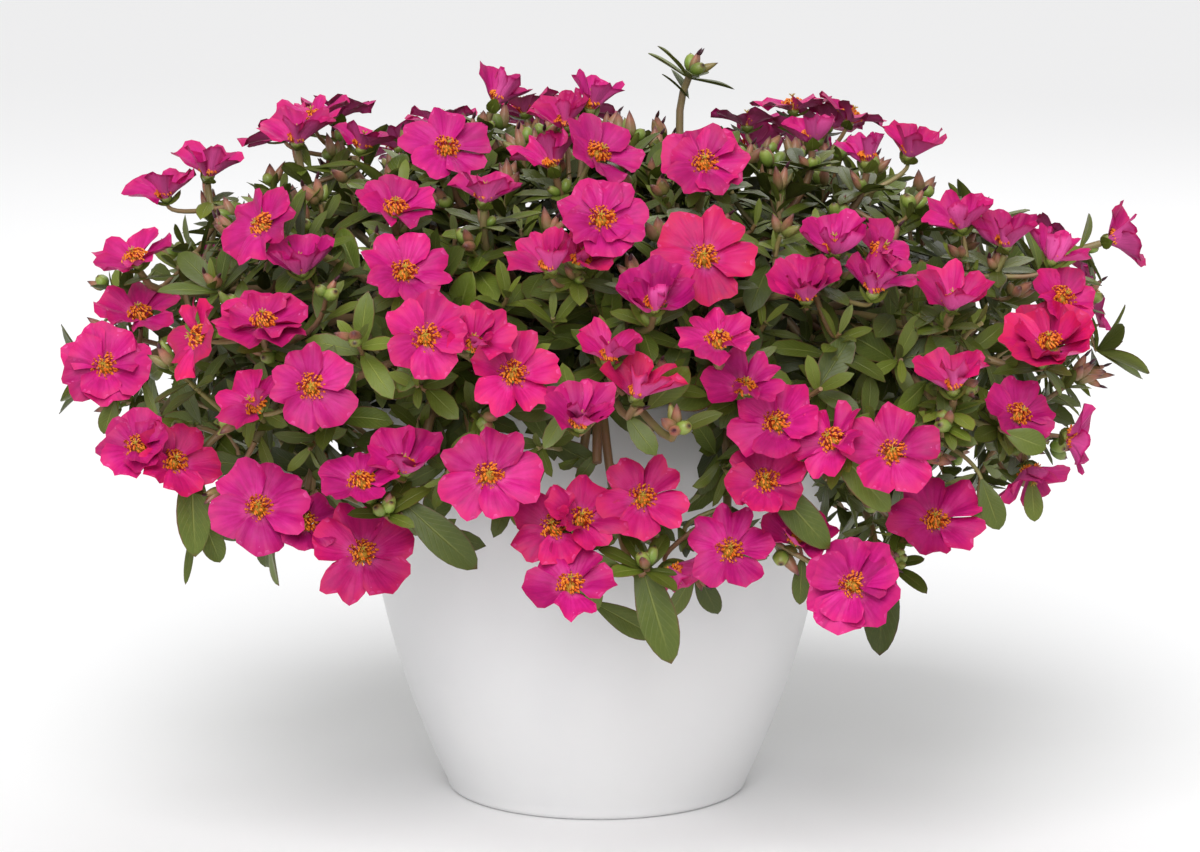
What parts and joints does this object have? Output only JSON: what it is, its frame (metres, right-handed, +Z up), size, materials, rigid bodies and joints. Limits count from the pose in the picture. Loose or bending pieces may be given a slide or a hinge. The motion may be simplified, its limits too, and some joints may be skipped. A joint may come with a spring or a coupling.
{
  "type": "potted portulaca",
  "caption": "Trailing portulaca in full magenta bloom, spilling over the rim of a round tapered white pot that stands on its flat foot.",
  "frame": {"origin": "centre of the pot's underside, on the surface it stands on", "axes": "+Z up the pot's axis, -Y towards the plant's front, +X to the right as seen from the front"},
  "size_m": [0.5152, 0.4513, 0.3524],
  "materials": {
    "pot": "satin white",
    "soil": "crumbly potting mix",
    "foliage": "smooth fleshy green",
    "petals": "soft silky magenta"
  },
  "bodies": {
    "root": {"pot": "pot", "soil": "soil", "leafy_stem_01": "foliage", "leafy_stem_02": "foliage", "leafy_stem_03": "foliage", "leafy_stem_04": "foliage", "leafy_stem_05": "foliage", "leafy_stem_06": "foliage", "leafy_stem_07": "foliage", "leafy_stem_08": "foliage", "leafy_stem_09": "foliage", "leafy_stem_10": "foliage", "blooms_01": "petals", "blooms_02": "petals", "blooms_03": "petals", "blooms_04": "petals", "blooms_05": "petals", "blooms_06": "petals", "blooms_07": "petals", "blooms_08": "petals", "blooms_09": "petals", "blooms_10": "petals", "blooms_11": "petals", "blooms_12": "petals", "blooms_13": "petals", "blooms_14": "petals", "blooms_15": "petals", "blooms_16": "petals", "blooms_17": "petals", "blooms_18": "petals", "blooms_19": "petals", "blooms_20": "petals", "blooms_21": "petals", "blooms_22": "petals", "blooms_23": "petals", "blooms_24": "petals", "blooms_25": "petals", "blooms_26": "petals", "blooms_27": "petals", "blooms_28": "petals", "blooms_29": "petals", "blooms_30": "petals", "blooms_31": "petals", "blooms_32": "petals", "blooms_33": "petals", "blooms_34": "petals", "blooms_35": "petals", "blooms_36": "petals", "blooms_37": "petals", "blooms_38": "petals", "blooms_39": "petals", "blooms_40": "petals", "blooms_41": "petals", "blooms_42": "petals", "blooms_43": "petals", "blooms_44": "petals", "blooms_45": "petals", "blooms_46": "petals", "blooms_47": "petals", "blooms_48": "petals"}
  },
  "joints": []
}
